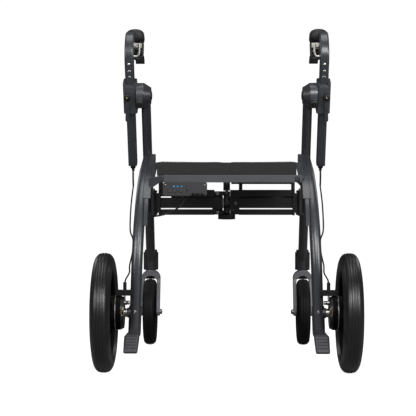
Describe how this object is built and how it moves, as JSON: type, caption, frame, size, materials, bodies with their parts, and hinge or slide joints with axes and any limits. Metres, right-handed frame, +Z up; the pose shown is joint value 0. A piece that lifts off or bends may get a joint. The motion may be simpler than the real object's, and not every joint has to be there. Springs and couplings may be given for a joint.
{
  "type": "rollator transport chair",
  "caption": "Folding wheeled walker that doubles as a transport chair, with leaning handle stems, a sling seat, a lock bar with control box, a folding gate and braked rear wheels.",
  "frame": {"origin": "centre of the object's footprint on the floor", "axes": "+X to the right seen from behind, +Y forward to the caster side, +Z up"},
  "size_m": [0.663, 0.695, 0.8889],
  "materials": {
    "frame_light": "satin dark blue-grey paint",
    "frame_dark": "satin charcoal paint",
    "clamp_grey": "satin grey die casting",
    "fork_grey": "satin grey",
    "black_metal": "satin black",
    "boot_plastic": "moulded dark grey plastic",
    "black_plastic": "moulded black plastic",
    "wheel_plastic": "moulded black wheel",
    "box_plastic": "moulded grey housing",
    "button_grey": "light grey button",
    "grip_rubber": "soft black grip",
    "tyre": "black tyre",
    "cable": "black cable sheath",
    "seat_fabric": "black woven seat cloth",
    "silver": "bright die casting",
    "steel": "zinc plated",
    "brass": "yellow zinc plating"
  },
  "bodies": {
    "left_frame": {"left_rear_leg": "frame_light", "left_front_leg": "frame_dark", "left_seat_rail": "frame_light", "left_foot_pedal": "boot_plastic", "left_caster_head": "black_plastic", "left_rear_axle": "steel", "left_brake_plate": "black_metal", "left_cable_stop": "black_metal", "left_cable_lower": "cable", "left_gate_hinge": "frame_dark"},
    "left_gate": {"left_gate": "frame_dark", "centre_pin": "black_metal"},
    "right_gate": {"right_gate": "frame_dark"},
    "right_frame": {"right_rear_leg": "frame_light", "right_front_leg": "frame_dark", "right_seat_rail": "frame_light", "right_foot_pedal": "boot_plastic", "right_caster_head": "black_plastic", "right_rear_axle": "steel", "right_brake_plate": "black_metal", "right_cable_stop": "black_metal", "right_cable_lower": "cable", "right_gate_hinge": "frame_dark"},
    "seat_left": {"seat_left": "seat_fabric"},
    "seat_right": {"seat_right": "seat_fabric"},
    "lock_bar": {"lock_bar": "frame_light", "control_box": "box_plastic", "control_cable": "cable"},
    "button_low": {"button_low": "button_grey"},
    "button_mid": {"button_mid": "button_grey"},
    "button_high": {"button_high": "button_grey"},
    "power_button": {"power_button": "button_grey"},
    "left_clamp": {"left_clamp_block": "clamp_grey"},
    "left_stem": {"left_handle_stem": "frame_light", "left_grip": "grip_rubber", "left_brake_bracket": "silver", "left_cable_upper": "cable"},
    "left_clamp_lever": {"left_clamp_lever": "frame_light"},
    "left_brake_lever": {"left_brake_lever": "black_plastic"},
    "left_brake_arm": {"left_brake_arm": "brass"},
    "left_rear_wheel": {"left_rear_rim": "wheel_plastic", "left_rear_tyre": "tyre"},
    "left_caster": {"left_caster_fork": "fork_grey", "left_front_axle": "steel"},
    "left_front_wheel": {"left_front_rim": "wheel_plastic", "left_front_tyre": "tyre"},
    "right_clamp": {"right_clamp_block": "clamp_grey"},
    "right_stem": {"right_handle_stem": "frame_light", "right_grip": "grip_rubber", "right_brake_bracket": "silver", "right_cable_upper": "cable"},
    "right_clamp_lever": {"right_clamp_lever": "frame_light"},
    "right_brake_lever": {"right_brake_lever": "black_plastic"},
    "right_brake_arm": {"right_brake_arm": "brass"},
    "right_rear_wheel": {"right_rear_rim": "wheel_plastic", "right_rear_tyre": "tyre"},
    "right_caster": {"right_caster_fork": "fork_grey", "right_front_axle": "steel"},
    "right_front_wheel": {"right_front_rim": "wheel_plastic", "right_front_tyre": "tyre"}
  },
  "joints": [
    {"name": "frame_fold", "type": "hinge", "parent": "left_frame", "child": "left_gate", "pos_m": [-0.204, 0.16682, 0.411], "axis": [0, 0, -1], "range_deg": [0, 75]},
    {"name": "gate_middle", "type": "hinge", "parent": "left_gate", "child": "right_gate", "pos_m": [0, 0.16682, 0.411], "axis": [0, 0, -1], "range_deg": [-150, 0]},
    {"name": "gate_right", "type": "hinge", "parent": "right_gate", "child": "right_frame", "pos_m": [0.204, 0.16682, 0.411], "axis": [0, 0, -1], "range_deg": [0, 75]},
    {"name": "seat_left_fold", "type": "hinge", "parent": "left_frame", "child": "seat_left", "pos_m": [-0.188, 0.05, 0.519], "axis": [0, -1, 0], "range_deg": [0, 82.5]},
    {"name": "seat_right_fold", "type": "hinge", "parent": "right_frame", "child": "seat_right", "pos_m": [0.188, 0.05, 0.519], "axis": [0, 1, 0], "range_deg": [0, 82.5]},
    {"name": "lock_bar_lift", "type": "hinge", "parent": "left_frame", "child": "lock_bar", "pos_m": [-0.174, -0.0725, 0.4826], "axis": [0, -1, 0], "range_deg": [0, 82.5], "deforming": ["control_cable"]},
    {"name": "button_low_press", "type": "slide", "parent": "lock_bar", "child": "button_low", "axis": [0, 1, 0], "range_m": [0, 0.001], "stiffness_N_per_m": 400},
    {"name": "button_mid_press", "type": "slide", "parent": "lock_bar", "child": "button_mid", "axis": [0, 1, 0], "range_m": [0, 0.001], "stiffness_N_per_m": 400},
    {"name": "button_high_press", "type": "slide", "parent": "lock_bar", "child": "button_high", "axis": [0, 1, 0], "range_m": [0, 0.001], "stiffness_N_per_m": 400},
    {"name": "power_button_press", "type": "slide", "parent": "lock_bar", "child": "power_button", "axis": [0, 1, 0], "range_m": [0, 0.001], "stiffness_N_per_m": 400},
    {"name": "left_handle_tilt", "type": "hinge", "parent": "left_frame", "child": "left_clamp", "pos_m": [-0.224, 0.07582, 0.706], "axis": [-1, 0, 0], "range_deg": [0, 60], "deforming": ["left_cable_lower"]},
    {"name": "left_handle_height", "type": "slide", "parent": "left_clamp", "child": "left_stem", "axis": [0, -0.4067, 0.9135], "range_m": [-0.03, 0.13], "deforming": ["left_cable_upper"]},
    {"name": "left_clamp_lever_turn", "type": "hinge", "parent": "left_clamp", "child": "left_clamp_lever", "pos_m": [-0.268, 0.05013, 0.70223], "axis": [0, 0.9135, 0.4067], "range_deg": [0, 90]},
    {"name": "left_brake_squeeze", "type": "hinge", "parent": "left_stem", "child": "left_brake_lever", "pos_m": [-0.241, 0.07792, 0.83095], "axis": [1, 0, 0], "range_deg": [0, 12], "stiffness_Nm_per_rad": 1.5, "springref_deg": -11.46},
    {"name": "left_brake_arm_pull", "type": "hinge", "parent": "left_frame", "child": "left_brake_arm", "pos_m": [-0.2545, -0.1775, 0.172], "axis": [-1, 0, 0], "range_deg": [0, 7.2]},
    {"name": "left_rear_wheel_spin", "type": "hinge", "parent": "left_frame", "child": "left_rear_wheel", "pos_m": [-0.3065, -0.1975, 0.15], "axis": [1, 0, 0], "continuous": true},
    {"name": "left_caster_swivel", "type": "hinge", "parent": "left_frame", "child": "left_caster", "pos_m": [-0.2195, 0.2825, 0.23], "axis": [0, 0, 1], "continuous": true},
    {"name": "left_front_wheel_spin", "type": "hinge", "parent": "left_caster", "child": "left_front_wheel", "pos_m": [-0.2195, 0.2525, 0.095], "axis": [1, 0, 0], "continuous": true},
    {"name": "right_handle_tilt", "type": "hinge", "parent": "right_frame", "child": "right_clamp", "pos_m": [0.224, 0.07582, 0.706], "axis": [-1, 0, 0], "range_deg": [0, 60], "deforming": ["right_cable_lower"]},
    {"name": "right_handle_height", "type": "slide", "parent": "right_clamp", "child": "right_stem", "axis": [0, -0.4067, 0.9135], "range_m": [-0.03, 0.13], "deforming": ["right_cable_upper"]},
    {"name": "right_clamp_lever_turn", "type": "hinge", "parent": "right_clamp", "child": "right_clamp_lever", "pos_m": [0.268, 0.05013, 0.70223], "axis": [0, -0.9135, -0.4067], "range_deg": [0, 90]},
    {"name": "right_brake_squeeze", "type": "hinge", "parent": "right_stem", "child": "right_brake_lever", "pos_m": [0.241, 0.07792, 0.83095], "axis": [1, 0, 0], "range_deg": [0, 12], "stiffness_Nm_per_rad": 1.5, "springref_deg": -11.46},
    {"name": "right_brake_arm_pull", "type": "hinge", "parent": "right_frame", "child": "right_brake_arm", "pos_m": [0.2545, -0.1775, 0.172], "axis": [-1, 0, 0], "range_deg": [0, 7.2]},
    {"name": "right_rear_wheel_spin", "type": "hinge", "parent": "right_frame", "child": "right_rear_wheel", "pos_m": [0.3065, -0.1975, 0.15], "axis": [1, 0, 0], "continuous": true},
    {"name": "right_caster_swivel", "type": "hinge", "parent": "right_frame", "child": "right_caster", "pos_m": [0.2195, 0.2825, 0.23], "axis": [0, 0, 1], "continuous": true},
    {"name": "right_front_wheel_spin", "type": "hinge", "parent": "right_caster", "child": "right_front_wheel", "pos_m": [0.2195, 0.2525, 0.095], "axis": [1, 0, 0], "continuous": true}
  ],
  "couplings": [
    {"joint": "gate_middle", "follows": "frame_fold", "ratio": -2},
    {"joint": "gate_right", "follows": "frame_fold", "ratio": 1},
    {"joint": "seat_left_fold", "follows": "frame_fold", "ratio": 1.1},
    {"joint": "seat_right_fold", "follows": "frame_fold", "ratio": 1.1},
    {"joint": "lock_bar_lift", "follows": "frame_fold", "ratio": 1.1},
    {"joint": "left_brake_arm_pull", "follows": "left_brake_squeeze", "ratio": 0.6},
    {"joint": "right_brake_arm_pull", "follows": "right_brake_squeeze", "ratio": 0.6}
  ]
}
